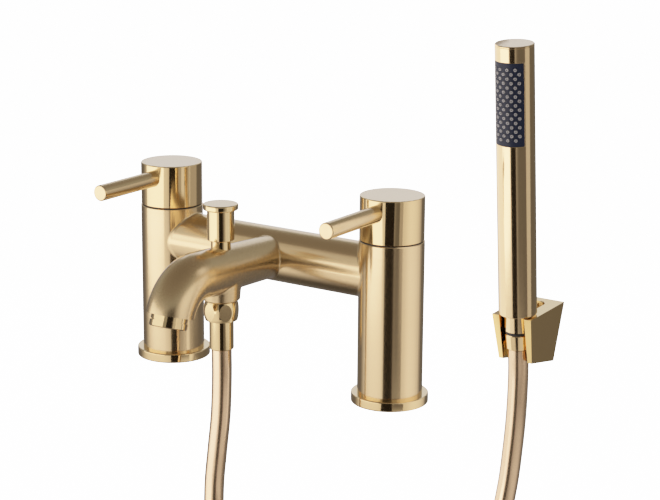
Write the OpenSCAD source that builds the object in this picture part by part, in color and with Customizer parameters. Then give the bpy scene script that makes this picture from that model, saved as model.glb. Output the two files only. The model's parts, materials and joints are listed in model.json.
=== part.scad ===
// Two-pillar bath and shower mixer with a pull-up diverter, a pencil handset,
// its hose and its bracket. Millimetres, +Z up. The origin lies on the deck,
// midway between the two inlets. The spout points along -Y, and the handset
// stands at +X.

/* [Pillars and bridge] */
// Distance between the axes of the two inlets
centres = 180; // [172:1:200]
// Outer diameter of a pillar
pillar_d = 42.8; // [42:0.1:44]
// Height of a pillar above the deck
pillar_top = 108.5; // [107:0.5:112]
// Outer diameter of a base flange
flange_d = 50.8; // [50:0.2:56]
// Height of a base flange
flange_h = 6.3; // [5:0.1:8]
// Outer diameter of the bridge
bridge_d = 36.2; // [34:0.2:37]
// Height of the bridge's axis above the deck
bridge_z = 85.5; // [85:0.1:86]

/* [Handles] */
// Outer diameter of a handle cap
cap_d = 42.2; // [40:0.1:42.5]
// Height of a handle cap
cap_h = 29; // [28:0.5:34]
// Diameter of a lever rod
lever_d = 10.8; // [9:0.2:11]
// Distance from the pillar's axis to the lever's tip
lever_reach = 76; // [60:1:80]
// Height of the lever's axis above the deck
lever_z = 129.2; // [128:0.2:130]

/* [Spout] */
// Diameter of the spout where it leaves the bridge
spout_root_d = 28.2; // [27:0.2:30]
// Diameter of the spout through its bend
spout_d = 30.7; // [30:0.1:32]
// Length of the straight stretch, from the bridge's axis
spout_run = 88; // [86:1:100]
// Angle by which the straight stretch rises
spout_rise = 2.8; // [2.6:0.1:3]
// Bend radius of the spout's centre line
spout_bend_r = 28; // [24:1:34]
// Angle of the outlet below the horizontal
spout_drop = 73; // [60:1:80]

/* [Diverter and hose outlet] */
// Distance of the diverter's axis in front of the bridge's axis
diverter_reach = 63; // [62:0.5:64]
// Travel of the diverter knob
diverter_lift = 9; // [6:0.5:9]
// Diameter of the knob's cap
knob_d = 22.8; // [20:0.1:24]
// Diameter of the knob's stem
stem_d = 17.7; // [16.5:0.1:18.5]
// Width of the hose nut across its flats
nut_flats = 21.4; // [21.4:0.1:24]

/* [Handset] */
// Outer diameter of the handset
handset_d = 24.4; // [24:0.1:26]
// Length of the handset's tube with its end cap
handset_len = 174.5; // [171:0.5:200]
// Angle by which the handset leans forward
handset_lean = 5; // [0:1:8]
// Columns of spray nozzles
nozzle_columns = 8; // [4:1:8]
// Nozzles in a long column; every other column has one fewer
nozzle_rows = 9; // [5:1:9]

/* [Bracket] */
// Width of the bracket at its top
bracket_w = 27.8; // [26.6:0.2:32]
// Depth of the bracket at its top
bracket_depth = 45.5; // [45:0.5:50]
// Width of the slot that the handset's neck slides through
slot_w = 17.8; // [17.6:0.1:18.2]

/* [Hose] */
// Outer diameter of the hose
hose_d = 13.2; // [12:0.1:13.4]
// Turns in the stored coil of hose
coil_turns = 2.5; // [1.5:1:2.5]

/* [Hidden] */
$fn = 64;

// Colours
brass = [0.78, 0.66, 0.46];
bright_brass = [0.84, 0.68, 0.38];
black = [0.06, 0.06, 0.06];
slate = [0.20, 0.23, 0.28];
pale = [0.86, 0.86, 0.84];
steel = [0.70, 0.70, 0.72];

// Clearances: between turned parts that are fixed together, and of a running fit
fixed_gap = 0.05;
running_gap = 0.06;
edge = 0.4;
overrun = 1;

// Pillars
pillar_x = centres / 2;
pillar_r = pillar_d / 2;
spigot_r = 18.6;
foot_z = 0;
inlet_r = 12.06;
inlet_top = 18;
chamber_r = 17;
seat_low = 70;
seat_top = 74;
seat_hole_r = 5.5;
chamber_top = 94;
thread_top = 103;
cartridge_thread_r = 10.4;
recess_r = 17.5;
port_r = 11;

// Base flanges and their seals
flange_r = flange_d / 2;
seal_wire_r = 0.75;
seal_r = 21.4;

// Bridge
bridge_r = bridge_d / 2;
bridge_bore_r = 14.4;

// Handles
glide_h = 0.55;
cap_gap = 0.15;
cap_r = cap_d / 2;
cap_low = pillar_top + glide_h + cap_gap;
cap_top = cap_low + cap_h;
cap_cavity_r = 17.8;
cap_cavity_top = lever_z - 8;
lever_r = lever_d / 2;
lever_inner = 9;
spindle_r = 4;
spindle_top = cap_cavity_top + 9;
grub_r = 2.5;
disc_r = 7.4;
disc_h = 3;
disc_low = seat_top + 1.5;
disc_top = disc_low + 2 * disc_h + 0.1;

// Spout, in a plane whose first axis points forward and second axis up
spout_root_r = spout_root_d / 2;
spout_r = spout_d / 2;
spout_bore_r = 10.5;
bend_start = [
    spout_run * cos(spout_rise),
    bridge_z + spout_run * sin(spout_rise)
];
bend_centre = bend_start + spout_bend_r * [sin(spout_rise), -cos(spout_rise)];
bend_end = bend_centre + spout_bend_r * [sin(spout_drop), cos(spout_drop)];
aerator_r = 12.1;
aerator_socket = 5;
aerator_h = 7.6;

// Diverter and hose outlet, whose common axis is vertical
diverter_z = bridge_z + diverter_reach * tan(spout_rise);
boss_r = 12.3;
boss_root_r = 13.9;
boss_low = 68.4;
nipple_r = 9.4;
nipple_low = 60;
nipple_bore_r = 6;
lower_seat = 73.9;
plug_r = 7.9;
plug_h = 4;
plug_low = lower_seat + 0.1;
web_low = plug_low + plug_h + diverter_lift + 0.1;
web_h = 2.6;
orifice_r = 5.5;
cage_bore_r = 8.6;
cage_half = 12;
bush_r = 6.5;
bush_low = 98;
bush_top = 117.5;
stem_low = 108.4;
knob_low = 128.4;
knob_top = 132.2;
diverter_rod_r = 3;
diverter_rod_top = 124;
nut_top = 68.1;
nut_low = 55.2;
nut_lip = 56.7;
nut_turn = -8;
sleeve_r = 8;
sleeve_low = 35.5;
tail_r = 4.9;
tail_top = 58.4;

// Handset, in a frame of its own that leans forward about its lower end
handset_foot = [172.5, 20, 68.6];
handset_r = handset_d / 2;
handset_wall = 1.4;
handset_in_r = handset_r - handset_wall;
end_cap_h = 1.1;
neck_r = 8.6;
neck_low = -11.3;
socket_r = 6.06;
socket_top = -3;
swivel_r = 6;
groove_low = -8;
groove_h = 1.6;
cone_r = 8.5;
cone_foot_r = 7.7;
cone_top = -13.1;
cone_low = -23.2;
panel_low = 112.3;
panel_top = 164.4;
panel_half_angle = 56;
panel_gap = 0.15;
nozzle_pitch = 5.5;
nozzle_angle = 11.7;
nub_r = 1.25;
mat_r = 9.4;

// Bracket, in the handset's frame: depth runs backwards and height upwards
bracket_front = -8.5;
bracket_back = bracket_front + bracket_depth;
bracket_back_drop = 2.15;
bracket_front_low = [-4.2, -31];
bracket_back_low = [26.2, -39.6];
side_taper = 1.9 / 28.8;
slot_r = slot_w / 2;
back_angle = atan((bracket_back - bracket_back_low[0]) / -(bracket_back_drop + bracket_back_low[1]));
pocket_r = 5.2;
pocket_low = -13;
pocket_back = 25;
screw_heights = [-7, -26];
screw_r = 2;
shank_r = 1.6;
screw_head_r = 3.8;
screw_head_h = 2.4;
screw_seat = 6.5;
screw_proud = 14;

// Hose: the two stretches that hang, and the coil between them
hose_r = hose_d / 2;
hose_sides = 10;
mixer_route = [
    [0, -63, 35.5], [0, -63, 15], [-1, -63.2, -10], [-3.4, -64, -35], [-5.4, -65, -60],
    [-4, -67, -85], [1, -69, -110], [7, -72, -135], [11, -75, -160], [12, -77, -190]
];
handset_route = [
    [172.5, 22.1, 45], [172.3, 23.6, 25], [171.5, 24, 0], [169.9, 23.5, -25],
    [167.8, 22, -50], [164.5, 18, -75], [158.5, 11, -100], [149.5, 2, -125],
    [140, -7, -150], [135.5, -13, -170], [134, -15, -190]
];
coil_pitch = 13.5;
coil_start = mixer_route[len(mixer_route) - 1];
coil_end = handset_route[len(handset_route) - 1];
coil_centre = (coil_start + coil_end) / 2;
coil_span = norm(coil_end - coil_start);
coil_axial = coil_turns * coil_pitch;
coil_r = sqrt(coil_span * coil_span - coil_axial * coil_axial) / 2;
coil_angle = atan2(coil_end[1] - coil_start[1], coil_end[0] - coil_start[0])
    - asin(coil_axial / coil_span);
coil_width = coil_axial + hose_d;
tie_gap = 0.4;
tie_t = 1.6;
tie_w = 14;

// ---------------------------------------------------------------- helpers

// A solid turned about Z from [radius, height] points
module turned(profile) {
    rotate_extrude() polygon(profile);
}

// A plain ring that stands on low
module ring(outer, inner, low, high) {
    turned([[inner, low], [outer, low], [outer, high], [inner, high]]);
}

// A cylinder between two heights
module rod(r, low, high) {
    translate([0, 0, low]) cylinder(r = r, h = high - low);
}

// A round wire ring whose centre line has radius r at height z
module wire_ring(r, wire_r, z) {
    rotate_extrude() translate([r, z]) circle(r = wire_r, $fn = 32);
}

// Places a part on the left (-1) or the right (1) pillar's axis
module on_pillar(side) {
    translate([side * pillar_x, 0, 0]) children();
}

// Places a part whose X points forward on the spout's plane
module forward() {
    rotate([0, 0, -90]) children();
}

// Places a part on the diverter's axis
module on_diverter() {
    translate([0, -diverter_reach, 0]) children();
}

// Places a part on the spout's outlet, with Z pointing out of it
module on_outlet() {
    forward()
        translate([bend_end[0], 0, bend_end[1]])
        rotate([0, 90 + spout_drop, 0])
        children();
}

// Places a part in the handset's leaning frame
module on_handset() {
    translate(handset_foot) rotate([handset_lean, 0, 0]) children();
}

// A wedge of a turned ring, centred on -Y
module arc_plate(inner, outer, low, high, half_angle) {
    rotate([0, 0, -90 - half_angle])
        rotate_extrude(angle = 2 * half_angle)
        translate([inner, low])
        square([outer - inner, high - low]);
}

// ---------------------------------------------------------------- mixer body

module pillar(side) {
    color(brass) on_pillar(side) difference() {
        turned([
            [0, foot_z], [spigot_r, foot_z], [spigot_r, flange_h], [pillar_r, flange_h],
            [pillar_r, pillar_top - edge], [pillar_r - edge, pillar_top], [0, pillar_top]
        ]);
        rod(inlet_r, foot_z - overrun, inlet_top + overrun);
        rod(chamber_r, inlet_top, seat_low);
        rod(seat_hole_r, seat_low - overrun, seat_top + overrun);
        rod(chamber_r, seat_top, chamber_top);
        rod(cartridge_thread_r, chamber_top - overrun, thread_top + overrun);
        rod(recess_r, thread_top, pillar_top + overrun);
        translate([0, 0, bridge_z])
            rotate([0, -side * 90, 0])
            cylinder(r = port_r, h = pillar_r + overrun);
    }
}

module base_flange(side) {
    color(bright_brass) on_pillar(side) difference() {
        turned([
            [spigot_r + fixed_gap, 0], [flange_r - edge, 0], [flange_r, edge],
            [flange_r, flange_h - edge], [flange_r - edge, flange_h],
            [spigot_r + fixed_gap, flange_h]
        ]);
        ring(seal_r + seal_wire_r + fixed_gap, seal_r - seal_wire_r - fixed_gap,
            -overrun, 2 * seal_wire_r + fixed_gap);
    }
}

module deck_seal(side) {
    color(black) on_pillar(side) wire_ring(seal_r, seal_wire_r, seal_wire_r);
}

module bridge_tube() {
    color(brass) difference() {
        translate([-pillar_x, 0, bridge_z]) rotate([0, 90, 0]) cylinder(r = bridge_r, h = centres);
        translate([-pillar_x, 0, bridge_z]) rotate([0, 90, 0]) cylinder(r = bridge_bore_r, h = centres);
        for (side = [-1, 1]) on_pillar(side) rod(pillar_r, 0, pillar_top);
        translate([0, 0, bridge_z]) rotate([90, 0, 0]) cylinder(r = spout_bore_r, h = bridge_r + overrun);
    }
}

// ---------------------------------------------------------------- spout

// The spout's straight stretch and its bend, for one pair of radii. Its frame has
// X from the bend's centre to the bend's start, so that the two meet face to face.
module spout_path(root_r, r) {
    forward()
        translate([bend_centre[0], 0, bend_centre[1]])
        rotate([90, 0, 0])
        rotate([0, 0, 90 + spout_rise]) {
            translate([spout_bend_r, 0, 0]) rotate([-90, 0, 0]) cylinder(r1 = r, r2 = root_r, h = spout_run);
            mirror([0, 1, 0])
                rotate_extrude(angle = spout_rise + spout_drop)
                translate([spout_bend_r, 0])
                circle(r = r);
        }
}

// The boss under the spout that carries the hose outlet, a little wider where it leaves the spout
module outlet_boss() {
    turned([
        [0, boss_low], [boss_r - 1, boss_low], [boss_r, boss_low + 1], [boss_root_r, diverter_z],
        [0, diverter_z]
    ]);
}

module spout() {
    color(brass) difference() {
        union() {
            spout_path(spout_root_r, spout_r);
            on_diverter() outlet_boss();
        }
        translate([-pillar_x, 0, bridge_z]) rotate([0, 90, 0]) cylinder(r = bridge_r, h = centres);
        spout_path(spout_bore_r, spout_bore_r);
        on_outlet() rod(aerator_r, -aerator_socket, overrun);
        on_diverter() rod(cage_bore_r, boss_low - overrun, diverter_z);
        on_diverter() rod(bush_r, diverter_z, diverter_z + spout_r + overrun);
    }
}

module aerator_housing() {
    groove_low = 2.9;
    groove_top = 3.4;
    color(bright_brass) on_outlet() turned([
        [9.6, 1 - aerator_socket], [aerator_r - fixed_gap, 1 - aerator_socket], [aerator_r - fixed_gap, 0],
        [aerator_r - 0.4, 0], [aerator_r - 0.4, groove_low], [aerator_r - 0.9, groove_low],
        [aerator_r - 0.9, groove_top], [aerator_r, groove_top], [aerator_r, aerator_h - 0.6],
        [aerator_r - 0.6, aerator_h], [10.2, aerator_h], [10.2, aerator_h - 2], [9.6, aerator_h - 2]
    ]);
}

// A moulded insert with rings of jets
module aerator_insert() {
    jets = [1, 6, 12, 18];
    jet_r = 0.8;
    jet_step = 2.2;
    color(pale) on_outlet() difference() {
        union() {
            rod(9.5, -3.5, aerator_h - 2.5);
            rod(9, aerator_h - 2.5, aerator_h - 1.6);
        }
        for (k = [0:len(jets) - 1]) {
            for (i = [0:jets[k] - 1]) {
                rotate([0, 0, i * 360 / jets[k]])
                    translate([k * jet_step, 0, 0])
                    rod(jet_r, -4.5, aerator_h);
            }
        }
    }
}

module aerator_washer() {
    color(black) on_outlet() ring(aerator_r - 0.1, 9, -aerator_socket, 1 - aerator_socket - 0.02);
}

// ---------------------------------------------------------------- valves and handles

// The brass headwork that screws into the pillar, with the spindle's gland
module cartridge(side) {
    color(bright_brass) on_pillar(side) difference() {
        union() {
            rod(9, disc_low, chamber_top);
            rod(cartridge_thread_r - 0.02, chamber_top, thread_top);
            translate([0, 0, thread_top]) cylinder(r = 12.4, h = 3.6, $fn = 6);
            rod(7.5, thread_top, pillar_top + 3);
        }
        rod(disc_r + fixed_gap, disc_low - overrun, disc_top + 0.1);
        rod(spindle_r + running_gap, disc_low, pillar_top + 4);
        translate([0, 0, disc_low + disc_h + 1.5])
            rotate([0, 90, 0])
            translate([0, 0, -10])
            cylinder(r = 2.4, h = 20);
    }
}

module seat_washer(side) {
    color(black) on_pillar(side) ring(8.6, seat_hole_r, seat_top, disc_low - 0.05);
}

// A ceramic disc with two kidney ports, here round
module ceramic_disc(low) {
    difference() {
        rod(disc_r, low, low + disc_h);
        for (s = [-1, 1]) translate([0, s * 3.8, 0]) rod(2, low - overrun, low + disc_h + overrun);
    }
}

module fixed_disc(side) {
    color(pale) on_pillar(side) ceramic_disc(disc_low);
}

module moving_disc(side) {
    color(pale) on_pillar(side) rotate([0, 0, 90]) ceramic_disc(disc_low + disc_h + 0.05);
}

// The spindle, splined where the handle sits on it
module spindle(side) {
    teeth = 20;
    crest = spindle_r - 0.1;
    root = spindle_r - 0.5;
    color(bright_brass) on_pillar(side) {
        rod(spindle_r, disc_top, pillar_top + 5);
        translate([0, 0, pillar_top + 5]) linear_extrude(spindle_top - pillar_top - 5) polygon([
            for (i = [0:2 * teeth - 1])
                (i % 2 == 0 ? crest : root) * [cos(i * 180 / teeth), sin(i * 180 / teeth)]
        ]);
    }
}

module glide_ring(side) {
    color(black) on_pillar(side) ring(pillar_r - 0.9, recess_r - 1, pillar_top, pillar_top + glide_h);
}

module handle_cap(side) {
    hub_r = 8.2;
    hub_low = pillar_top + 5.5;
    color(brass) on_pillar(side) difference() {
        union() {
            difference() {
                turned([
                    [0, cap_low], [cap_r - edge, cap_low], [cap_r, cap_low + edge],
                    [cap_r, cap_top - 0.7], [cap_r - 0.2, cap_top - 0.2], [cap_r - 0.7, cap_top],
                    [0, cap_top]
                ]);
                rod(cap_cavity_r, cap_low - overrun, cap_cavity_top);
            }
            rod(hub_r, hub_low, cap_cavity_top + overrun);
        }
        rod(spindle_r + fixed_gap, hub_low - overrun, spindle_top + 0.3);
        translate([0, 0, lever_z]) rotate([90, 0, 0]) translate([0, 0, lever_inner])
            cylinder(r = lever_r + fixed_gap, h = cap_r);
        translate([0, 0, hub_low + 3.5]) rotate([-90, 0, 0]) cylinder(r = grub_r + fixed_gap, h = cap_r + overrun);
    }
}

// The rod, with a rounded seat where it enters the cap
module lever(side) {
    tip = 0.8;
    color(brass) on_pillar(side) translate([0, 0, lever_z]) rotate([90, 0, 0]) turned([
        [0, lever_inner], [lever_r, lever_inner], [lever_r, lever_reach - tip],
        for (a = [30:30:90]) [lever_r - tip * (1 - cos(a)), lever_reach - tip + tip * sin(a)],
        [0, lever_reach]
    ]);
}

module grub_screw(side) {
    socket = 1.5;
    color(steel) on_pillar(side) translate([0, 0, pillar_top + 9]) rotate([-90, 0, 0]) difference() {
        rod(grub_r, spindle_r + 0.1, cap_r - 1.2);
        translate([0, 0, cap_r - 4]) cylinder(r = socket, h = 4, $fn = 6);
    }
}

// ---------------------------------------------------------------- diverter and hose outlet

// The cage that fills the spout at the diverter: water comes in low from the bridge,
// and leaves high to the outlet, through an orifice that the plug can close
module diverter_body() {
    s = diverter_reach / cos(spout_rise);
    color(bright_brass) difference() {
        forward()
            translate([0, 0, bridge_z])
            rotate([0, 90 - spout_rise, 0])
            rod(spout_bore_r - fixed_gap, s - cage_half, s + cage_half);
        on_diverter() {
            rod(cage_bore_r, boss_low, web_low);
            rod(orifice_r, web_low - overrun, web_low + web_h + overrun);
            rod(bush_r, web_low + web_h, diverter_z + spout_r);
            translate([0, 0, diverter_z - 5.6]) rotate([-90, 0, 0]) cylinder(r = 4, h = cage_half + 3);
            translate([0, 0, diverter_z + 5.6]) rotate([90, 0, 0]) cylinder(r = 3.6, h = cage_half + 3);
        }
    }
}

module diverter_bush() {
    color(bright_brass) on_diverter() turned([
        [diverter_rod_r + running_gap, bush_low], [bush_r - fixed_gap, bush_low],
        [bush_r - fixed_gap, bush_top - 0.5], [bush_r - 0.6, bush_top],
        [diverter_rod_r + running_gap, bush_top], [diverter_rod_r + running_gap, 114],
        [4.8, 114], [4.8, 112], [diverter_rod_r + running_gap, 112]
    ]);
}

module diverter_o_ring() {
    color(black) on_diverter() wire_ring(3.95, 0.8, 113);
}

module diverter_spindle() {
    color(steel) on_diverter() {
        rod(5, plug_low - 1.8, plug_low);
        rod(diverter_rod_r, plug_low - 1, diverter_rod_top);
        rod(5, plug_low + plug_h, plug_low + plug_h + 1.5);
    }
}

module diverter_plug() {
    color(black) on_diverter() ring(plug_r, diverter_rod_r + 0.02, plug_low, plug_low + plug_h);
}

module diverter_knob() {
    stem_r = stem_d / 2;
    knob_r = knob_d / 2;
    bore_top = 119;
    color(bright_brass) on_diverter() turned([
        [bush_r + 0.4, stem_low], [stem_r - edge, stem_low], [stem_r, stem_low + edge],
        [stem_r, knob_low], [knob_r - 0.8, knob_low],
        for (a = [-60:30:0]) [knob_r - 0.8 + 0.8 * cos(a), knob_low + 0.8 + 0.8 * sin(a)],
        for (a = [0:30:90]) [knob_r - 0.8 + 0.8 * cos(a), knob_top - 0.8 + 0.8 * sin(a)],
        [0, knob_top], [0, diverter_rod_top + 0.1], [diverter_rod_r + 0.02, diverter_rod_top + 0.1],
        [diverter_rod_r + 0.02, bore_top], [bush_r + 0.4, bore_top]
    ]);
}

module outlet_nipple() {
    color(bright_brass) on_diverter() turned([
        [nipple_bore_r, nipple_low], [nipple_r - 0.6, nipple_low], [nipple_r, nipple_low + 0.6],
        [nipple_r, boss_low - 0.05], [cage_bore_r - fixed_gap, boss_low - 0.05],
        [cage_bore_r - fixed_gap, lower_seat], [nipple_bore_r, lower_seat]
    ]);
}

module hose_washer() {
    color(black) on_diverter() ring(9.2, 5, tail_top, nipple_low - 0.02);
}

// A hexagon nut with its corners turned to a barrel, which leaves an oval on each flat
module hose_nut() {
    flat_r = nut_flats / 2;
    half = (nut_top - nut_low) / 2;
    bulge = 1;
    color(bright_brass) on_diverter() rotate([0, 0, nut_turn]) difference() {
        intersection() {
            translate([0, 0, nut_low]) cylinder(r = flat_r / cos(30), h = 2 * half, $fn = 6);
            turned([
                [0, nut_low],
                for (t = [-1:0.125:1]) [flat_r + 0.8 - bulge * t * t, nut_low + half * (1 + t)],
                [0, nut_top]
            ]);
        }
        rod(nipple_r + 0.1, nut_lip, nut_top + overrun);
        rod(sleeve_r + 0.2, nut_low - overrun, nut_lip + overrun);
    }
}

module hose_tail() {
    color(bright_brass) on_diverter() turned([
        [3.4, 38], [tail_r - 0.6, 38], [tail_r, 39.5], [tail_r, nut_lip], [9.2, nut_lip],
        [9.2, tail_top], [3.4, tail_top]
    ]);
}

module crimp_sleeve() {
    color(bright_brass) on_diverter() turned([
        [tail_r + fixed_gap, sleeve_low], [sleeve_r - 0.5, sleeve_low], [sleeve_r, sleeve_low + 0.5],
        [sleeve_r, nut_lip - 0.02], [tail_r + fixed_gap, nut_lip - 0.02]
    ]);
}

// ---------------------------------------------------------------- bracket

// Places a part on a bracket screw's axis, with Z pointing out of the back face
module on_screw(height) {
    back = bracket_back + (height + bracket_back_drop) * tan(back_angle);
    on_handset() translate([0, back, height]) rotate([-90 - back_angle, 0, 0]) children();
}

module bracket() {
    half = bracket_w / 2;
    low = bracket_back_low[1];
    color(bright_brass) difference() {
        on_handset() difference() {
            intersection() {
                rotate([90, 0, 90]) translate([0, 0, -half]) linear_extrude(bracket_w) polygon([
                    [bracket_front, 0], bracket_front_low, bracket_back_low,
                    [bracket_back, -bracket_back_drop]
                ]);
                rotate([90, 0, 0]) translate([0, 0, -bracket_back]) linear_extrude(bracket_depth) polygon([
                    [-half, 0], [-half - low * side_taper, low], [half + low * side_taper, low], [half, 0]
                ]);
            }
            rod(slot_r, low - overrun, overrun);
            translate([-slot_r, bracket_front - overrun, low - overrun])
                cube([slot_w, -bracket_front + overrun, -low + 2 * overrun]);
            translate([0, pocket_back, 0]) rod(pocket_r, pocket_low, overrun);
            translate([-pocket_r, 0, pocket_low]) cube([2 * pocket_r, pocket_back, -pocket_low + overrun]);
        }
        for (height = screw_heights) on_screw(height) {
            rod(screw_r + 0.2, -screw_seat - overrun, overrun);
            rod(screw_head_r + 0.4, -20, -screw_seat);
        }
    }
}

module bracket_screws() {
    slot = 0.9;
    color(steel) for (height = screw_heights) on_screw(height) difference() {
        union() {
            rod(shank_r, -screw_seat - 0.5, 0);
            rod(screw_r, 0, screw_proud);
            rod(screw_head_r, -screw_seat - screw_head_h, -screw_seat);
        }
        for (turn = [0, 90]) rotate([0, 0, turn])
            translate([-slot / 2, -2.4, -screw_seat - screw_head_h - overrun])
            cube([slot, 4.8, 1.4 + overrun]);
    }
}

// ---------------------------------------------------------------- handset and hose end

// The cone that the hose ends in, with the spigot that the handset turns on
module hose_cone() {
    color(bright_brass) on_handset() turned([
        [3.3, cone_low], [cone_foot_r - edge, cone_low], [cone_foot_r, cone_low + edge],
        [cone_r, cone_top - edge], [cone_r - edge, cone_top],
        [swivel_r - 1.3, cone_top], [swivel_r - 1.3, neck_low - 0.1], [swivel_r, neck_low - 0.1],
        [swivel_r, groove_low], [swivel_r - 1, groove_low],
        [swivel_r - 1, groove_low + groove_h], [swivel_r, groove_low + groove_h],
        [swivel_r, socket_top - 0.6], [3.3, socket_top - 0.6]
    ]);
}

module swivel_seal() {
    color(black) on_handset() ring(neck_r - 0.5, swivel_r - 1.25, cone_top + 0.02, neck_low - 0.12);
}

module swivel_o_ring() {
    color(black) on_handset() wire_ring(swivel_r - 0.5, 0.48, groove_low + groove_h / 2);
}

module handset_tube() {
    top = handset_len - end_cap_h;
    color(brass) on_handset() difference() {
        turned([
            [neck_r + fixed_gap, 0.3], [handset_r - edge, 0.3], [handset_r, 0.3 + edge], [handset_r, top],
            [handset_in_r, top], [handset_in_r, 2.5], [neck_r + fixed_gap, 2.5]
        ]);
        arc_plate(handset_in_r - overrun, handset_r + overrun, panel_low, panel_top, panel_half_angle);
    }
}

module handset_end_cap() {
    low = handset_len - end_cap_h + 0.05;
    color(brass) on_handset() turned([
        [0, low - 4.5], [handset_in_r - 0.1, low - 4.5], [handset_in_r - 0.1, low - 3.2],
        [handset_in_r - 1.1, low - 3.2], [handset_in_r - 1.1, low - 1.8], [handset_in_r - 0.1, low - 1.8],
        [handset_in_r - 0.1, low], [handset_r, low], [handset_r, handset_len - edge],
        [handset_r - edge, handset_len], [0, handset_len]
    ]);
}

module end_cap_o_ring() {
    color(black) on_handset() wire_ring(handset_in_r - 0.55, 0.5, handset_len - end_cap_h - 2.45);
}

module handset_neck() {
    color(brass) on_handset() turned([
        [socket_r, neck_low], [neck_r - edge, neck_low], [neck_r, neck_low + edge], [neck_r, 2.52],
        [handset_in_r - fixed_gap, 2.52], [handset_in_r - fixed_gap, 5.5], [4.25, 5.5],
        [4.25, socket_top], [socket_r, socket_top]
    ]);
}

module waterway_tube() {
    color(pale) on_handset() ring(4.2, 3.2, socket_top + 0.3, panel_low - 3);
}

// The manifold behind the nozzles
module spray_chamber() {
    low = panel_low - 5;
    top = panel_top + 2;
    color(pale) on_handset() difference() {
        rod(mat_r - 0.1, low, top);
        rod(mat_r - 2, low + 2, top - 2);
        rod(4.22, low - overrun, low + 3);
        arc_plate(mat_r - 3, mat_r + overrun, panel_low + 3, panel_top - 3, 48);
    }
}

// Repeats its children at every nozzle, with Z pointing out of the handset
module at_nozzles() {
    middle = (panel_low + panel_top) / 2;
    for (c = [0:nozzle_columns - 1]) {
        rows = nozzle_rows - c % 2;
        for (k = [0:rows - 1]) {
            translate([0, 0, middle + (k - (rows - 1) / 2) * nozzle_pitch])
                rotate([0, 0, (c - (nozzle_columns - 1) / 2) * nozzle_angle])
                rotate([90, 0, 0])
                children();
        }
    }
}

module nozzle_mat() {
    nub_top = handset_r + 0.45;
    color(slate) on_handset() difference() {
        union() {
            arc_plate(mat_r, handset_in_r - 0.05, panel_low - 2, panel_top + 1.5, panel_half_angle - 2);
            at_nozzles() translate([0, 0, handset_in_r - 0.6]) cylinder(r1 = nub_r, r2 = nub_r - 0.3,
                h = nub_top - handset_in_r + 0.6);
        }
        at_nozzles() rod(0.45, mat_r - overrun, nub_top + overrun);
    }
}

module nozzle_panel() {
    side_gap = asin(panel_gap / handset_r);
    color(slate) on_handset() difference() {
        arc_plate(handset_in_r, handset_r - 0.05, panel_low + panel_gap, panel_top - panel_gap,
            panel_half_angle - side_gap);
        at_nozzles() rod(nub_r + 0.05, handset_in_r - overrun, handset_r + overrun);
    }
}

// ---------------------------------------------------------------- hose

function unit(v) = v / norm(v);

// The route's direction at its point i
function heading(route, i) = unit(
    route[min(i + 1, len(route) - 1)] - route[max(i - 1, 0)]
);

// The points of one ring round the route's point i
function ring_points(route, i) =
    let (
        along = heading(route, i),
        across = unit(cross(along, [0, 1, 0])),
        third = cross(along, across)
    )
    [for (k = [0:hose_sides - 1])
        route[i] + hose_r * (cos(k * 360 / hose_sides) * across + sin(k * 360 / hose_sides) * third)];

// A tube with flat ends swept along a route
module swept(route) {
    rings = len(route);
    polyhedron(
        points = [for (i = [0:rings - 1]) each ring_points(route, i)],
        faces = [
            [for (k = [0:hose_sides - 1]) k],
            [for (k = [hose_sides - 1:-1:0]) (rings - 1) * hose_sides + k],
            for (i = [0:rings - 2]) for (k = [0:hose_sides - 1])
                let (next = (k + 1) % hose_sides, a = i * hose_sides, b = a + hose_sides)
                [a + k, b + k, b + next, a + next]
        ]
    );
}

// Places a part in the coil's frame: X across it, Z along its axis, Y down
module on_coil() {
    translate(coil_centre) rotate([0, 0, coil_angle]) rotate([-90, 0, 0]) children();
}

module hose_mixer_run() {
    color(brass) swept(mixer_route);
}

module hose_handset_run() {
    color(brass) swept(handset_route);
}

module hose_coil() {
    color(brass) on_coil() ring(coil_r + hose_r, coil_r - hose_r, -coil_width / 2, coil_width / 2);
}

// Two straps round the coil's turns, at its top and its bottom
module hose_ties() {
    inner = [tie_w, hose_d + 2 * tie_gap, coil_width + 2 * tie_gap];
    outer = inner + [0, 2 * tie_t, 2 * tie_t];
    color(black) for (side = [-1, 1]) on_coil() translate([0, side * coil_r, 0]) difference() {
        cube(outer, center = true);
        cube(inner + [2 * overrun, 0, 0], center = true);
    }
}

// ---------------------------------------------------------------- nodes

pillar(-1);  // left_pillar
pillar(1);  // right_pillar
base_flange(-1);  // left_base_flange
base_flange(1);  // right_base_flange
deck_seal(-1);  // left_deck_seal
deck_seal(1);  // right_deck_seal
bridge_tube();
spout();
aerator_housing();
aerator_insert();
aerator_washer();
cartridge(-1);  // left_cartridge
cartridge(1);  // right_cartridge
seat_washer(-1);  // left_seat_washer
seat_washer(1);  // right_seat_washer
fixed_disc(-1);  // left_fixed_disc
fixed_disc(1);  // right_fixed_disc
moving_disc(-1);  // left_moving_disc
moving_disc(1);  // right_moving_disc
spindle(-1);  // left_spindle
spindle(1);  // right_spindle
glide_ring(-1);  // left_glide_ring
glide_ring(1);  // right_glide_ring
handle_cap(-1);  // left_handle_cap
handle_cap(1);  // right_handle_cap
lever(-1);  // left_lever
lever(1);  // right_lever
grub_screw(-1);  // left_grub_screw
grub_screw(1);  // right_grub_screw
diverter_body();
diverter_bush();
diverter_o_ring();
diverter_spindle();
diverter_plug();
diverter_knob();
outlet_nipple();
hose_washer();
hose_nut();
hose_tail();
crimp_sleeve();
bracket();
bracket_screws();
hose_cone();
swivel_seal();
swivel_o_ring();
handset_tube();
handset_end_cap();
end_cap_o_ring();
handset_neck();
waterway_tube();
spray_chamber();
nozzle_mat();
nozzle_panel();
hose_mixer_run();
hose_coil();
hose_handset_run();
hose_ties();
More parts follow.
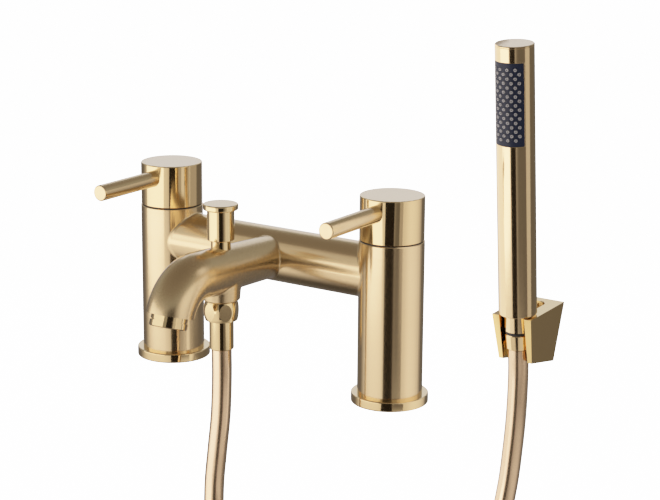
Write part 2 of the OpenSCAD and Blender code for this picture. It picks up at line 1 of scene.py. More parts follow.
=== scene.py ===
"""Looks of the two-pillar bath and shower mixer, its handset, hose and bracket. Metres, +Z up."""
import json
from math import asin, atan2, cos, exp, pi, radians, sin, sqrt, tan

import bmesh
import bpy
from mathutils import Matrix, Vector

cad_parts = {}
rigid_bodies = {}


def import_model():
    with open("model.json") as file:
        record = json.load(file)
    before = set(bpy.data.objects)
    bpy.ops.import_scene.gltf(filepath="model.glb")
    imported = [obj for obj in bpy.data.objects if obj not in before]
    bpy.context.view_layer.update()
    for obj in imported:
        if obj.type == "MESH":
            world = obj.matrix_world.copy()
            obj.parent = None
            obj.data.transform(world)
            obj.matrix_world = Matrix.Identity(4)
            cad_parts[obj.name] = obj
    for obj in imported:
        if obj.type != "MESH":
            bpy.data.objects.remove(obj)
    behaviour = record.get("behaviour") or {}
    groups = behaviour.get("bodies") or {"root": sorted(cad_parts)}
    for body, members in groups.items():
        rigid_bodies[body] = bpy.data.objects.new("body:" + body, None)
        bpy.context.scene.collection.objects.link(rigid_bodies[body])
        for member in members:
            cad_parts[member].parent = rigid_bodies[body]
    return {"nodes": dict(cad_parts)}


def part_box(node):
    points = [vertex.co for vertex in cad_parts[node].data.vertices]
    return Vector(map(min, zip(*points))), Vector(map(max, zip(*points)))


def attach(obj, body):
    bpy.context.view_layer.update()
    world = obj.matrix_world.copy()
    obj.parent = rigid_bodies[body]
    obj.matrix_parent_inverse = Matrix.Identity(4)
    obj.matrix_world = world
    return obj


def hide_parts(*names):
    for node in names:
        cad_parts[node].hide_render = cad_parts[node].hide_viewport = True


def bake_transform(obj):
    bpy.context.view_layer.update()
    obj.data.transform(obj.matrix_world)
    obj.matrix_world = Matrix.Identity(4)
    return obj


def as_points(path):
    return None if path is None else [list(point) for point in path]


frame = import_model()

NODES = frame["nodes"]
MM = 0.001
UP = Vector((0, 0, 1))

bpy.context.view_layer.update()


def middle(node):
    """The centre of a node's box."""
    low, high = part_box(node)
    return (low + high) / 2


# ------------------------------------------------------------------ camera

CAMERA_AT = Vector((0.7342, -1.0289, 0.4128))
CAMERA_AZIMUTH = radians(33.925)
CAMERA_HEIGHT = radians(14.396)
CAMERA_ROLL = radians(0.416)
CAMERA_LENS = 106.06
CAMERA_SENSOR = 36


def camera_axes():
    """The camera's right, up and back directions."""
    back = Vector((
        sin(CAMERA_AZIMUTH) * cos(CAMERA_HEIGHT),
        -cos(CAMERA_AZIMUTH) * cos(CAMERA_HEIGHT),
        sin(CAMERA_HEIGHT),
    ))
    right = Vector((cos(CAMERA_AZIMUTH), sin(CAMERA_AZIMUTH), 0))
    up = back.cross(right)
    return (
        right * cos(CAMERA_ROLL) + up * sin(CAMERA_ROLL),
        up * cos(CAMERA_ROLL) - right * sin(CAMERA_ROLL),
        back,
    )


def make_camera():
    """The photo's camera, with its lens and sensor in millimetres."""
    data = bpy.data.cameras.new("camera")
    data.lens = CAMERA_LENS
    data.sensor_width = CAMERA_SENSOR
    data.clip_start = 0.05
    data.clip_end = 100
    camera = bpy.data.objects.new("camera", data)
    bpy.context.scene.collection.objects.link(camera)
    turn = Matrix(camera_axes()).transposed().to_4x4()
    camera.matrix_world = Matrix.Translation(CAMERA_AT) @ turn
    bpy.context.scene.camera = camera


# ------------------------------------------------------------------ meshes

def link(mesh, name):
    """A new object of that mesh, in the scene."""
    obj = bpy.data.objects.new(name, mesh)
    bpy.context.scene.collection.objects.link(obj)
    return obj


def from_bmesh(bm, name, sharp=35):
    """The finished object of a bmesh, smooth apart from edges sharper than that many degrees."""
    bmesh.ops.recalc_face_normals(bm, faces=bm.faces)
    for face in bm.faces:
        face.smooth = True
    for edge in bm.edges:
        edge.smooth = len(edge.link_faces) == 2 and edge.calc_face_angle(0) < radians(sharp)
    mesh = bpy.data.meshes.new(name)
    bm.to_mesh(mesh)
    bm.free()
    return link(mesh, name)


def through(points, step):
    """A smooth line through the points, as points about that far apart."""
    fine = [points[0]]
    ends = [points[0] * 2 - points[1], *points, points[-1] * 2 - points[-2]]
    for before, a, b, after in zip(ends, ends[1:], ends[2:], ends[3:]):
        count = max(2, round((b - a).length / step * 4))
        for k in range(1, count + 1):
            t = k / count
            fine.append(0.5 * (
                a * 2 + (b - before) * t
                + (before * 2 - a * 5 + b * 4 - after) * t ** 2
                + (a * 3 - before - b * 3 + after) * t ** 3
            ))
    total = sum((b - a).length for a, b in zip(fine, fine[1:]))
    gap = total / round(total / step)
    line, left = [fine[0]], gap
    for a, b in zip(fine, fine[1:]):
        length = (b - a).length
        while left <= length:
            line.append(a.lerp(b, left / length))
            left += gap
        left -= length
    if (line[-1] - fine[-1]).length > gap / 2:
        line.append(fine[-1])
    line[-1] = fine[-1]
    return line


def sweep(bm, line, outline, closed=False, across=None):
    """Sweeps an outline of (across, third) points along a line, without twist."""
    last = len(line) - 1
    if closed:
        along = [(line[(i + 1) % len(line)] - line[i - 1]).normalized() for i in range(len(line))]
    else:
        along = [(line[min(i + 1, last)] - line[max(i - 1, 0)]).normalized() for i in range(len(line))]
    across = across or along[0].orthogonal()
    rings = []
    for point, direction in zip(line, along):
        across = (across - direction * across.dot(direction)).normalized()
        third = direction.cross(across)
        rings.append([bm.verts.new(point + across * x + third * y) for x, y in outline])
    count = len(outline)
    pairs = zip(rings, rings[1:] + rings[:1]) if closed else zip(rings, rings[1:])
    for a, b in pairs:
        for k in range(count):
            bm.faces.new((a[k], a[(k + 1) % count], b[(k + 1) % count], b[k]))
    if not closed:
        bm.faces.new(rings[0])
        bm.faces.new(rings[-1])


def circle(radius, count):
    """Points round a circle."""
    return [(radius * cos(2 * pi * k / count), radius * sin(2 * pi * k / count)) for k in range(count)]


# ------------------------------------------------------------------ hose

HOSE_D = 13.2 * MM
MIXER_ROUTE = [Vector(p) * MM for p in (
    (0, -63, 35.5), (0, -63, 15), (-1, -63.2, -10), (-3.4, -64, -35), (-5.4, -65, -60),
    (-4, -67, -85), (1, -69, -110), (7, -72, -135), (11, -75, -160), (12, -77, -190),
)]
HANDSET_ROUTE = [Vector(p) * MM for p in (
    (172.5, 22.1, 45), (172.3, 23.6, 25), (171.5, 24, 0), (169.9, 23.5, -25),
    (167.8, 22, -50), (164.5, 18, -75), (158.5, 11, -100), (149.5, 2, -125),
    (140, -7, -150), (135.5, -13, -170), (134, -15, -190),
)]
HOSE_EXIT = MIXER_ROUTE[0]
COIL_TURNS = 2.5
COIL_PITCH = 13.5 * MM
COIL_AXIAL = COIL_TURNS * COIL_PITCH
COIL_CENTRE = (MIXER_ROUTE[-1] + HANDSET_ROUTE[-1]) / 2
COIL_SPAN = HANDSET_ROUTE[-1] - MIXER_ROUTE[-1]
COIL_R = sqrt(COIL_SPAN.length ** 2 - COIL_AXIAL ** 2) / 2
COIL_ANGLE = atan2(COIL_SPAN.y, COIL_SPAN.x) - asin(COIL_AXIAL / COIL_SPAN.length)
COIL_ACROSS = Vector((cos(COIL_ANGLE), sin(COIL_ANGLE), 0))
COIL_AXIS = Vector((-sin(COIL_ANGLE), cos(COIL_ANGLE), 0))
POINTS_A_TURN = 24


def coil_points():
    """The coil's turns, down from the mixer's run and up into the handset's."""
    count = round(COIL_TURNS * POINTS_A_TURN)
    points = []
    for k in range(1, count):
        turned = pi + 2 * pi * COIL_TURNS * k / count
        points.append(
            COIL_CENTRE
            + (COIL_ACROSS * cos(turned) + UP * sin(turned)) * COIL_R
            + COIL_AXIS * COIL_AXIAL * (k / count - 0.5)
        )
    return points


def make_hose(material):
    """One hose from the crimp sleeve to the cone, as a smooth tube."""
    line = through([*MIXER_ROUTE, *coil_points(), *reversed(HANDSET_ROUTE)], step=3 * MM)
    bm = bmesh.new()
    sweep(bm, line, circle(HOSE_D / 2, 32))
    hose = from_bmesh(bm, "hose")
    hose.data.materials.append(material)
    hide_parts("hose_mixer_run", "hose_coil", "hose_handset_run")
    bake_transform(hose)
    return hose, line


# ------------------------------------------------------------------ materials

CHAMPAGNE = (0.92, 0.70, 0.40)
GOLD = (0.93, 0.70, 0.37)
BRACKET_GOLD = (0.93, 0.66, 0.27)


class Tree:
    """A material's nodes, added and joined in one call each."""

    def __init__(self, name):
        self.material = bpy.data.materials.new(name)
        self.material.use_nodes = True
        self.nodes = self.material.node_tree.nodes
        self.shader = self.nodes["Principled BSDF"]

    def add(self, kind, inputs=(), **settings):
        """A node with its settings, and with its inputs set to values or joined to sockets."""
        node = self.nodes.new(kind)
        for key, value in settings.items():
            setattr(node, key, value)
        for key, value in dict(inputs).items():
            self.put(node, key, value)
        return node

    def put(self, node, key, value):
        """Sets an input to a value, or joins it to a socket."""
        if isinstance(value, bpy.types.NodeSocket):
            self.material.node_tree.links.new(value, node.inputs[key])
        else:
            node.inputs[key].default_value = value

    def math(self, operation, a, b):
        return self.add("ShaderNodeMath", {0: a, 1: b}, operation=operation).outputs[0]

    def vector(self, operation, a, b=None):
        """A vector operation's result, which is a value where it measures something."""
        inputs = {0: a} if b is None else {0: a, 1: b}
        node = self.add("ShaderNodeVectorMath", inputs, operation=operation)
        return node.outputs["Value" if operation in ("LENGTH", "DOT_PRODUCT") else "Vector"]

    def noise(self, vector, scale, detail=2.0, roughness=0.5):
        inputs = {"Vector": vector, "Scale": scale, "Detail": detail, "Roughness": roughness}
        return self.add("ShaderNodeTexNoise", inputs).outputs["Fac"]

    def between(self, share, low, high):
        """A value that goes from low to high as share goes from 0 to 1."""
        inputs = {"Value": share, "To Min": low, "To Max": high}
        return self.add("ShaderNodeMapRange", inputs).outputs["Result"]

    def ease(self, value, start, end, low, high):
        """A value that eases from low to high while the given one goes from start to end."""
        inputs = {"Value": value, "From Min": start, "From Max": end, "To Min": low, "To Max": high}
        node = self.add("ShaderNodeMapRange", inputs, interpolation_type="SMOOTHSTEP")
        return node.outputs["Result"]

    def colours(self, share, first, second):
        """A colour between two, by share."""
        inputs = {0: share, 6: (*first, 1), 7: (*second, 1)}
        return self.add("ShaderNodeMix", inputs, data_type="RGBA").outputs[2]

    def place(self):
        """The point's place in its object's frame, in metres."""
        return self.add("ShaderNodeTexCoord").outputs["Object"]

    def bump(self, height, depth, strength):
        inputs = {"Height": height, "Distance": depth, "Strength": strength}
        self.put(self.shader, "Normal", self.add("ShaderNodeBump", inputs).outputs["Normal"])


def tint(colour, share):
    """The colour made darker and warmer by a share."""
    return tuple(c * (1 - share * k) for c, k in zip(colour, (0.7, 1.0, 1.4)))


def lathe_lines(tree, centre, axis):
    """A place that hardly changes along the fine rings that turning leaves round an axis."""
    from_axis = tree.vector("SUBTRACT", tree.place(), centre)
    flat = tree.vector("MULTIPLY", from_axis, [1 - a for a in axis])
    along = tree.math("ADD", tree.vector("LENGTH", flat), tree.vector("DOT_PRODUCT", from_axis, axis))
    fast = tree.add("ShaderNodeCombineXYZ", {"X": along, "Y": along, "Z": along}).outputs[0]
    slow = tree.vector("MULTIPLY", flat, (0.02, 0.02, 0.02))
    return tree.vector("ADD", fast, slow)


def turned_brass(name, centre, axis, colour, roughness, depth):
    """Lacquered brass, turned and brushed round an axis, with a few faint marks from handling."""
    tree = Tree(name)
    lines = lathe_lines(tree, centre, axis)
    fine = tree.noise(lines, 1500, detail=4, roughness=0.65)
    broad = tree.noise(lines, 160, detail=2)
    smudge = tree.noise(tree.place(), 38, detail=3)
    tree.put(tree.shader, "Base Color", tree.colours(
        tree.math("ADD", tree.math("MULTIPLY", fine, 0.6), tree.math("MULTIPLY", smudge, 0.4)),
        tint(colour, -0.04), tint(colour, 0.12),
    ))
    tree.put(tree.shader, "Roughness", tree.math(
        "ADD",
        tree.between(tree.math("MULTIPLY", fine, broad), roughness * 0.8, roughness * 1.35),
        tree.between(smudge, -0.02, 0.02),
    ))
    tree.bump(fine, depth, 0.35)
    tree.put(tree.shader, "Metallic", 1.0)
    tree.put(tree.shader, "Anisotropic", 0.5)
    tree.put(tree.shader, "Anisotropic Rotation", 0.25)
    tangent = tree.add("ShaderNodeTangent", direction_type="RADIAL", axis="XYZ"[list(axis).index(1)])
    tree.put(tree.shader, "Tangent", tangent.outputs[0])
    tree.put(tree.shader, "Coat Weight", 0.6)
    tree.put(tree.shader, "Coat Roughness", 0.12)
    return tree.material


def satin_brass(name, colour, roughness, depth):
    """Lacquered brass with a fine grain that runs no one way."""
    tree = Tree(name)
    place = tree.place()
    grain = tree.noise(place, 4000, detail=3, roughness=0.6)
    smudge = tree.noise(place, 45, detail=3)
    tree.put(tree.shader, "Base Color", tree.colours(
        tree.math("ADD", tree.math("MULTIPLY", grain, 0.5), tree.math("MULTIPLY", smudge, 0.5)),
        tint(colour, -0.04), tint(colour, 0.10),
    ))
    tree.put(tree.shader, "Roughness", tree.math(
        "ADD",
        tree.between(grain, roughness * 0.85, roughness * 1.15),
        tree.between(smudge, -0.025, 0.025),
    ))
    tree.bump(grain, depth, 0.15)
    tree.put(tree.shader, "Metallic", 1.0)
    tree.put(tree.shader, "Coat Weight", 0.6)
    tree.put(tree.shader, "Coat Roughness", 0.12)
    return tree.material


def moulded(name, colour, roughness, depth, grain_scale=1800, gloss=0.5):
    """A moulded plastic or rubber with a fine grained skin."""
    tree = Tree(name)
    place = tree.place()
    grain = tree.noise(place, grain_scale, detail=2)
    flow = tree.noise(place, 60, detail=2)
    tree.put(tree.shader, "Base Color", tree.colours(flow, tint(colour, -0.08), tint(colour, 0.10)))
    tree.put(tree.shader, "Roughness", tree.between(grain, roughness * 0.85, roughness * 1.2))
    tree.bump(grain, depth, 0.4)
    tree.put(tree.shader, "Specular IOR Level", gloss)
    return tree.material


def hose_skin():
    """Metallised hose under a smooth clear skin, with the faint waves of the coil inside it."""
    tree = Tree("hose_skin")
    place = tree.place()
    cloud = tree.noise(place, 90, detail=3)
    grain = tree.noise(place, 2400, detail=2)
    tree.put(tree.shader, "Base Color", tree.colours(cloud, (0.92, 0.67, 0.43), (0.84, 0.59, 0.36)))
    tree.put(tree.shader, "Roughness", tree.between(grain, 0.15, 0.22))
    tree.bump(cloud, 0.12 * MM, 0.25)
    tree.put(tree.shader, "Metallic", 0.9)
    tree.put(tree.shader, "Coat Weight", 1.0)
    tree.put(tree.shader, "Coat Roughness", 0.10)
    return tree.material


def webbing():
    """Black woven strap."""
    tree = Tree("webbing")
    place = tree.place()
    weave = tree.add("ShaderNodeTexChecker", {"Vector": place, "Scale": 900}).outputs["Fac"]
    fuzz = tree.noise(place, 1500, detail=3)
    height = tree.math("ADD", tree.math("MULTIPLY", weave, 0.5), tree.math("MULTIPLY", fuzz, 0.5))
    tree.put(tree.shader, "Base Color", tree.colours(height, (0.012, 0.012, 0.013), (0.05, 0.05, 0.052)))
    tree.put(tree.shader, "Roughness", tree.between(fuzz, 0.7, 0.95))
    tree.bump(height, 0.3 * MM, 0.6)
    tree.put(tree.shader, "Sheen Weight", 0.3)
    return tree.material


def dress_nodes():
    """Gives every CAD node its material, by the slot that its record names."""
    x_axis, y_axis, z_axis = (1, 0, 0), (0, 1, 0), (0, 0, 1)
    handset = turned_brass("handset", middle("handset_tube"), z_axis, CHAMPAGNE, 0.15, 0.02 * MM)
    by_node = {
        "bridge_tube": turned_brass("bridge", middle("bridge_tube"), x_axis, CHAMPAGNE, 0.24, 0.03 * MM),
        "handset_tube": handset,
        "handset_end_cap": handset,
        "handset_neck": handset,
        "bracket": satin_brass("bracket_brass", BRACKET_GOLD, 0.12, 0.004 * MM),
        "bracket_screws": satin_brass("screw_brass", BRACKET_GOLD, 0.3, 0.01 * MM),
    }
    for node, axis, colour, roughness, depth in (
        ("pillar", z_axis, CHAMPAGNE, 0.18, 0.03 * MM),
        ("handle_cap", z_axis, GOLD, 0.11, 0.01 * MM),
        ("lever", y_axis, CHAMPAGNE, 0.20, 0.01 * MM),
    ):
        for name in (f"left_{node}", f"right_{node}"):
            by_node[name] = turned_brass(name, middle(name), axis, colour, roughness, depth)
    by_slot = {
        "brushed_brass": satin_brass("satin_brass", CHAMPAGNE, 0.27, 0.02 * MM),
        "bright_brass": satin_brass("bright_brass", GOLD, 0.09, 0.004 * MM),
        "plain_brass": satin_brass("plain_brass", GOLD, 0.35, 0.03 * MM),
        "black_rubber": moulded("black_rubber", (0.009, 0.008, 0.008), 0.55, 0.03 * MM),
        "black_nylon": moulded("black_nylon", (0.010, 0.009, 0.009), 0.45, 0.02 * MM),
        "white_ceramic": moulded("white_ceramic", (0.80, 0.79, 0.75), 0.15, 0.005 * MM),
        "white_plastic": moulded("white_plastic", (0.72, 0.72, 0.70), 0.4, 0.01 * MM),
        "slate_plastic": moulded("slate_plastic", (0.016, 0.024, 0.056), 0.42, 0.02 * MM, gloss=0.25),
        "grey_silicone": moulded("grey_silicone", (0.52, 0.53, 0.57), 0.5, 0.01 * MM),
        "steel": satin_brass("steel", (0.62, 0.62, 0.64), 0.3, 0.01 * MM),
        "hose_skin": hose_skin(),
    }
    for name, obj in NODES.items():
        slot = obj.data.materials[0].name.split(".")[0]
        obj.data.materials[0] = by_node.get(name, by_slot[slot])
    return by_node, by_slot


EDGE_WIDTHS = {
    "bracket": 0.6 * MM,
    "left_base_flange": 0.5 * MM,
    "right_base_flange": 0.5 * MM,
    "left_handle_cap": 0.3 * MM,
    "right_handle_cap": 0.3 * MM,
    "handset_end_cap": 0.3 * MM,
    "handset_tube": 0.3 * MM,
}


def soften_edges(name, width):
    """Rounds a node's edges over a small width."""
    obj = NODES[name]
    weld = obj.modifiers.new("weld", "WELD")
    weld.merge_threshold = 0.001 * MM
    bevel = obj.modifiers.new("bevel", "BEVEL")
    bevel.width = width
    bevel.segments = 3
    bevel.limit_method = "ANGLE"
    bevel.angle_limit = radians(40)
    normals = obj.modifiers.new("normals", "WEIGHTED_NORMAL")
    normals.keep_sharp = False
    normals.weight = 100


# ------------------------------------------------------------------ fillets

SPOUT_RISE = radians(2.8)
SPOUT_ROOT_R = 14.2 * MM
SPOUT_R_AT_BOSS = 15.0 * MM
BOSS_RADII = (12.6 * MM, 13.1 * MM)


def fillet(name, centre, along, axis, radii, big_r, width, material):
    """The small concave fillet where a branch meets the round tube of that axis and radius.

    The branch leaves the centre along its own direction. Its two radii are those where it meets
    the tube on top and at the sides.
    """
    first = (axis - along * axis.dot(along)).normalized()
    third = along.cross(first)
    run = along - axis * along.dot(axis)

    def corner(turned, grown):
        """The point of the tube's surface under a branch that is grown by so much."""
        radius = radii[0] + (radii[1] - radii[0]) * sin(turned) ** 2 + grown
        out = first * radius * cos(turned) + third * radius * sin(turned)
        off = out - axis * out.dot(axis)
        half = off.dot(run)
        rise = (sqrt(half ** 2 - run.dot(run) * (off.dot(off) - big_r ** 2)) - half) / run.dot(run)
        return centre + out + along * rise

    arc_steps = 6
    ring_steps = 128
    bury = 0.3 * MM
    bm = bmesh.new()
    rings = []
    for k in range(ring_steps):
        turned = 2 * pi * k / ring_steps
        inner = corner(turned, 0)
        start = inner + along * width
        end = corner(turned, width)
        shares = [i / arc_steps for i in range(arc_steps + 1)]
        arc = [start.lerp(inner, t).lerp(inner.lerp(end, t), t) for t in shares]
        buried = corner(turned, -bury) - along * bury
        rings.append([bm.verts.new(p) for p in (*arc, buried)])
    count = len(rings[0])
    for a, b in zip(rings, rings[1:] + rings[:1]):
        for i in range(count):
            bm.faces.new((a[i], a[(i + 1) % count], b[(i + 1) % count], b[i]))
    obj = from_bmesh(bm, name, sharp=60)
    obj.data.materials.append(material)
    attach(obj, "mixer")


def make_fillets(by_node, by_slot):
    """The fillets where the spout and the pillars meet the bridge, and the boss meets the spout."""
    low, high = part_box("bridge_tube")
    bridge_r = (high.z - low.z) / 2
    bridge_z = (high.z + low.z) / 2
    on_bridge = Vector((0, 0, bridge_z))
    forward = Vector((0, -cos(SPOUT_RISE), sin(SPOUT_RISE)))
    right = Vector((1, 0, 0))
    satin = by_slot["brushed_brass"]
    fillet("spout_fillet", on_bridge, forward, right, (SPOUT_ROOT_R,) * 2, bridge_r, 0.9 * MM, satin)
    outlet = Vector((0, HOSE_EXIT.y, bridge_z - HOSE_EXIT.y * tan(SPOUT_RISE)))
    fillet("boss_fillet", outlet, -UP, forward, BOSS_RADII, SPOUT_R_AT_BOSS, 1.7 * MM, satin)
    for side, inward in (("left", right), ("right", -right)):
        pillar_low, pillar_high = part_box(f"{side}_pillar")
        pillar_r = (pillar_high.x - pillar_low.x) / 2
        centre = Vector((middle(f"{side}_pillar").x, 0, bridge_z))
        fillet(f"{side}_bridge_fillet", centre, inward, UP, (bridge_r,) * 2, pillar_r, 1.4 * MM,
               by_node["bridge_tube"])


# ------------------------------------------------------------------ straps

def stadium(centre, long_way, short_way, half_length, radius):
    """Points round a stadium: two half circles joined by straight sides."""
    points = []
    arc = 16
    for end in (1, -1):
        for k in range(arc + 1):
            a = pi * k / arc - pi / 2
            points.append(
                centre + long_way * end * (half_length + radius * cos(a)) + short_way * end * radius * sin(a)
            )
    return points


def rounded_bar(width, thickness, corner):
    """The outline of a bar with rounded corners, across its width and then its thickness."""
    points = []
    for k, (sx, sy) in enumerate(((1, 1), (-1, 1), (-1, -1), (1, -1))):
        for step in range(4):
            a = pi / 2 * (k + step / 3)
            points.append((
                sx * (width / 2 - corner) + corner * cos(a),
                sy * (thickness / 2 - corner) + corner * sin(a),
            ))
    return points


def make_straps(material):
    """Two woven straps that hold the coil's turns together, each with its loose end pressed down."""
    width, thickness = 14 * MM, 1.4 * MM
    clearance = 0.3 * MM
    outline = rounded_bar(width, thickness, 0.6 * MM)
    for name, side, strands in (("upper_strap", 1, 2), ("lower_strap", -1, 3)):
        centre = COIL_CENTRE + UP * side * COIL_R
        half = COIL_PITCH * (strands - 1) / 2
        radius = HOSE_D / 2 + clearance + thickness / 2
        bm = bmesh.new()
        loop = stadium(centre, COIL_AXIS, UP * side, half, radius)
        sweep(bm, loop, outline, closed=True, across=COIL_ACROSS)
        outer = stadium(centre, COIL_AXIS, UP * side, half, radius + thickness)
        sweep(bm, outer[:11], outline, across=COIL_ACROSS)
        strap = from_bmesh(bm, name, sharp=50)
        strap.data.materials.append(material)
        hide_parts("hose_ties")
        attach(strap, "mixer")
        yield strap


# ------------------------------------------------------------------ studio

FLOOR_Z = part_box("hose_ties")[0].z
FLOOR_SIZE = 24
WHITE_POINT = 6
FLOOR_WHITE = 4.2
KEY_AZIMUTH = radians(-22)
FILL_AZIMUTH = radians(85)
WARM = (1.0, 0.885, 0.81)
COOL = (0.92, 0.97, 1.13)
HANDSET_SIDE = ("handset_", "nozzle_", "swivel_seal", "hose_cone", "bracket")


def lobe(tree, away, azimuth, cosine, strength):
    """A glow of that strength towards an azimuth, which fades out where the cosine from it is lower."""
    towards = (sin(azimuth), -cos(azimuth), 0)
    return tree.ease(tree.vector("DOT_PRODUCT", away, towards), cosine, 1, 0, strength)


def painted_floor_light_and_shade(tree):
    """How bright the floor is in the metal, all painted: a painted shadow dark below the mixer, and painted
    light brighter towards the two softboxes.
    """
    under_the_mixer = (0.03, -0.05, 0)
    flat = tree.vector("SUBTRACT", tree.place(), under_the_mixer)
    far = tree.vector("LENGTH", flat)
    away = tree.vector("NORMALIZE", flat)
    # Painted light: glowing lobes towards the key and the fill softboxes, over a faint even glow.
    key = lobe(tree, away, KEY_AZIMUTH, 0.25, 1.15)
    fill = lobe(tree, away, FILL_AZIMUTH, 0.6, 0.8)
    fill_nearby = tree.math("MULTIPLY", tree.ease(far, 0.65, 0.85, 1, 0), fill)
    glow = tree.math("ADD", tree.math("ADD", key, fill_nearby), 0.11)
    # Painted shadow: the glow falls to 0.12 of itself near the point under the mixer.
    return tree.math("MULTIPLY", glow, tree.ease(far, 0.14, 0.46, 0.12, 1))


def make_floor():
    """A plain pale floor, bright enough in the picture to run into the backdrop. For every other ray it is
    painted dark and glows with painted light and shade that the metal mirrors.
    """
    bm = bmesh.new()
    bmesh.ops.create_grid(bm, x_segments=4, y_segments=4, size=FLOOR_SIZE / 2)
    floor = from_bmesh(bm, "floor")
    floor.location.z = FLOOR_Z
    tree = Tree("floor")
    shader = tree.shader
    grain = tree.noise(tree.place(), 30, detail=2)
    seen = tree.add("ShaderNodeLightPath").outputs["Is Camera Ray"]
    pale = tree.between(grain, 0.80, 0.84)
    # Painted shade: for all but camera rays the floor's colour is darkened to 0.08 of its pale colour.
    tree.put(shader, "Base Color", tree.math("MULTIPLY", pale, tree.between(seen, 0.08, 1)))
    tree.put(shader, "Roughness", 0.6)
    # For all but camera rays the floor glows warm with the painted light and shade instead of the even
    # white.
    tree.put(shader, "Emission Color", tree.colours(seen, WARM, (1, 1, 1)))
    glow = tree.add("ShaderNodeMix", {0: seen, 2: painted_floor_light_and_shade(tree), 3: FLOOR_WHITE}).outputs[0]
    tree.put(shader, "Emission Strength", glow)
    floor.data.materials.append(tree.material)


def make_world():
    """A white backdrop for the camera, and a dim room with a dark ceiling for what the metal mirrors."""
    world = bpy.data.worlds.new("studio")
    bpy.context.scene.world = world
    world.use_nodes = True
    nodes, links = world.node_tree.nodes, world.node_tree.links
    room = nodes["Background"]
    backdrop = nodes.new("ShaderNodeBackground")
    backdrop.inputs["Strength"].default_value = WHITE_POINT
    direction = nodes.new("ShaderNodeTexCoord")
    split = nodes.new("ShaderNodeSeparateXYZ")
    links.new(direction.outputs["Generated"], split.inputs[0])
    ramp = nodes.new("ShaderNodeValToRGB")
    links.new(split.outputs["Z"], ramp.inputs[0])
    heights = ramp.color_ramp.elements
    heights[0].position, heights[0].color = 0.0, (0.34, 0.31, 0.28, 1)
    heights[1].position, heights[1].color = 1.0, (0.20, 0.167, 0.135, 1)
    heights.new(0.45).color = (0.40, 0.38, 0.34, 1)
    heights.new(0.70).color = (0.26, 0.225, 0.185, 1)
    links.new(ramp.outputs["Color"], room.inputs["Color"])
    ray = nodes.new("ShaderNodeLightPath")
    mix = nodes.new("ShaderNodeMixShader")
    links.new(ray.outputs["Is Camera Ray"], mix.inputs[0])
    links.new(room.outputs[0], mix.inputs[1])
    links.new(backdrop.outputs[0], mix.inputs[2])
    links.new(mix.outputs[0], nodes["World Output"].inputs["Surface"])


def aim(obj, azimuth, distance, height):
    """Stands an object round the mixer at that azimuth, facing its axis."""
    a = radians(azimuth)
    obj.location = (distance * sin(a), -distance * cos(a), height)
    obj.rotation_euler = (pi / 2, 0, a)


def make_panel(name, azimuth, distance, height, size, radiance, colour=(1, 1, 1), lights=None):
    """A softbox of that width, height and radiance, which may be kept to one group of objects."""
    data = bpy.data.lights.new(name, "AREA")
    data.shape = "RECTANGLE"
    data.size, data.size_y = size
    data.color = colour
    data.energy = radiance * pi * size[0] * size[1]
    panel = bpy.data.objects.new(name, data)
    bpy.context.scene.collection.objects.link(panel)
    aim(panel, azimuth, distance, height)
    panel.visible_camera = False
    if lights:
        panel.light_linking.receiver_collection = lights
    return panel


def show_in_metal_only(obj):
    """Hides a piece of the studio from everything but reflections."""
    obj.visible_camera = False
    obj.visible_diffuse = False
    obj.visible_shadow = False


def make_card():
    """The dark slot that the camera looks in through, between the softboxes."""
    width, height = 0.245, 0.68
    bm = bmesh.new()
    bmesh.ops.create_grid(bm, x_segments=1, y_segments=1, size=0.5)
    bmesh.ops.scale(bm, vec=(width, height, 1), verts=bm.verts)
    card = from_bmesh(bm, "card")
    aim(card, 33.3, 0.465, -0.12)
    tree = Tree("card")
    weave = tree.noise(tree.place(), 300)
    tree.put(tree.shader, "Base Color", tree.colours(weave, (0.012, 0.009, 0.006), (0.02, 0.014, 0.010)))
    tree.put(tree.shader, "Roughness", 1.0)
    card.data.materials.append(tree.material)
    show_in_metal_only(card)


def make_flat(name, x, radiance, shares, dims):
    """A glowing flat that stands between the mixer and the handset, so that neither mirrors the other.

    The shares are how bright its front edge and its back are, next to its peak. It dims towards the
    back over the two depths in dims.
    """
    front, peak, back = -0.022, -0.003, 0.06
    low, high = -0.10, 0.26
    bm = bmesh.new()
    corners = ((front, low), (back, low), (back, high), (front, high))
    bm.faces.new([bm.verts.new((x, y, z)) for y, z in corners])
    flat = from_bmesh(bm, name)
    tree = Tree(name)
    depth = tree.add("ShaderNodeSeparateXYZ", {0: tree.place()}).outputs["Y"]
    rise = tree.ease(depth, front, peak, shares[0], 1)
    fade = tree.ease(depth, *dims, 1, shares[1])
    glow = tree.math("MULTIPLY", radiance, tree.math("MULTIPLY", rise, fade))
    tree.put(tree.shader, "Base Color", (0, 0, 0, 1))
    tree.put(tree.shader, "Roughness", 1.0)
    tree.put(tree.shader, "Emission Color", (*WARM, 1))
    tree.put(tree.shader, "Emission Strength", glow)
    flat.data.materials.append(tree.material)
    show_in_metal_only(flat)


def group(name, belongs):
    """The pieces that belong, by name, as a collection that a light can be kept to."""
    collection = bpy.data.collections.new(name)
    for obj in bpy.context.scene.objects:
        if obj.type == "MESH" and belongs(obj.name):
            collection.objects.link(obj)
    return collection


def make_bracket_light(lights):
    """A low softbox in front of the bracket, which its overhanging arms mirror."""
    light = make_panel("bracket_light", 0, 1, 0, (0.44, 0.26), 0.92, WARM, lights)
    light.location = (0.06, -0.16, -0.22)
    light.rotation_euler = (pi, 0, 0)


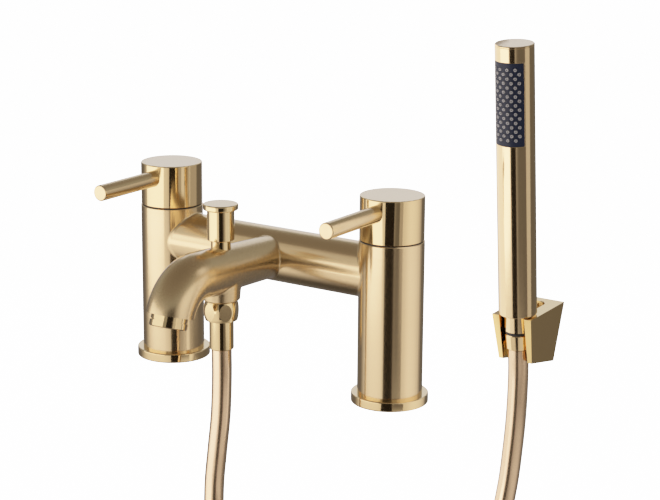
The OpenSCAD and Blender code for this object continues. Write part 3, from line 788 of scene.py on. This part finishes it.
def make_studio():
    """The mixer and the handset were photographed apart, so each has its own softboxes."""
    make_floor()
    make_world()
    make_card()
    make_flat("mixer_flat", 0.133, 1.45, (0.72, 0.25), dims=(-0.003, 0.06))
    make_flat("handset_flat", 0.137, 2.0, (1.0, 0.2), dims=(0.012, 0.036))
    handset_side = group("handset_side", lambda name: name.startswith(HANDSET_SIDE))
    mixer_side = group("mixer_side", lambda name: not name.startswith(HANDSET_SIDE))
    hose_side = group("hose_side", lambda name: name == "hose")
    bracket_side = group("bracket_side", lambda name: name.startswith("bracket"))
    bridge_side = group("bridge_side", lambda name: name == "bridge_tube")
    make_panel("left_softbox", -33, 1.1, 0.10, (1.65, 0.72), 1.55, WARM, mixer_side)
    make_panel("handset_key", -33, 0.7, 0.05, (1.10, 0.60), 2.0, WARM, handset_side)
    make_panel("right_fill", 104, 0.9, 0.12, (1.7, 0.75), 0.35, WARM, mixer_side)
    make_panel("right_softbox", 92, 0.9, 0.12, (0.65, 0.75), 0.6, WARM, mixer_side)
    make_panel("handset_softbox", 104, 0.9, 0.12, (0.34, 0.75), 0.65, WARM, handset_side)
    make_panel("hose_key", -33, 0.5, -0.14, (0.8, 0.22), 1.3, WARM, hose_side)
    make_panel("bridge_fill", -34, 0.8, 0.60, (1.6, 0.9), 0.45, WARM, bridge_side)
    make_bracket_light(bracket_side)
    make_panel("back_softbox", 215, 1.2, 0.33, (0.9, 1.1), 0.8, COOL)


def set_film():
    """A soft shoulder like a camera's, which lets bright brass pale before it clips."""
    settings = bpy.context.scene.view_settings
    settings.view_transform = "Standard"
    settings.use_curve_mapping = True
    film = settings.curve_mapping
    film.white_level = (WHITE_POINT,) * 3
    curve = film.curves[3]
    steps = (0, 0.02, 0.05, 0.1, 0.17, 0.25, 0.35, 0.5, 0.7, 1)
    for x in steps:
        y = (1 - exp(-WHITE_POINT * x)) / (1 - exp(-WHITE_POINT))
        if x == 0:
            curve.points[0].location = (x, y)
        elif x == 1:
            curve.points[-1].location = (x, y)
        else:
            curve.points.new(x, y)
    film.update()


# ------------------------------------------------------------------ the whole

make_camera()
node_finishes, slot_finishes = dress_nodes()
hose, hose_line = make_hose(slot_finishes["hose_skin"])
straps = list(make_straps(webbing()))
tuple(HOSE_EXIT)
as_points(hose_line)
make_fillets(node_finishes, slot_finishes)
for name, width in EDGE_WIDTHS.items():
    soften_edges(name, width)
make_studio()
set_film()
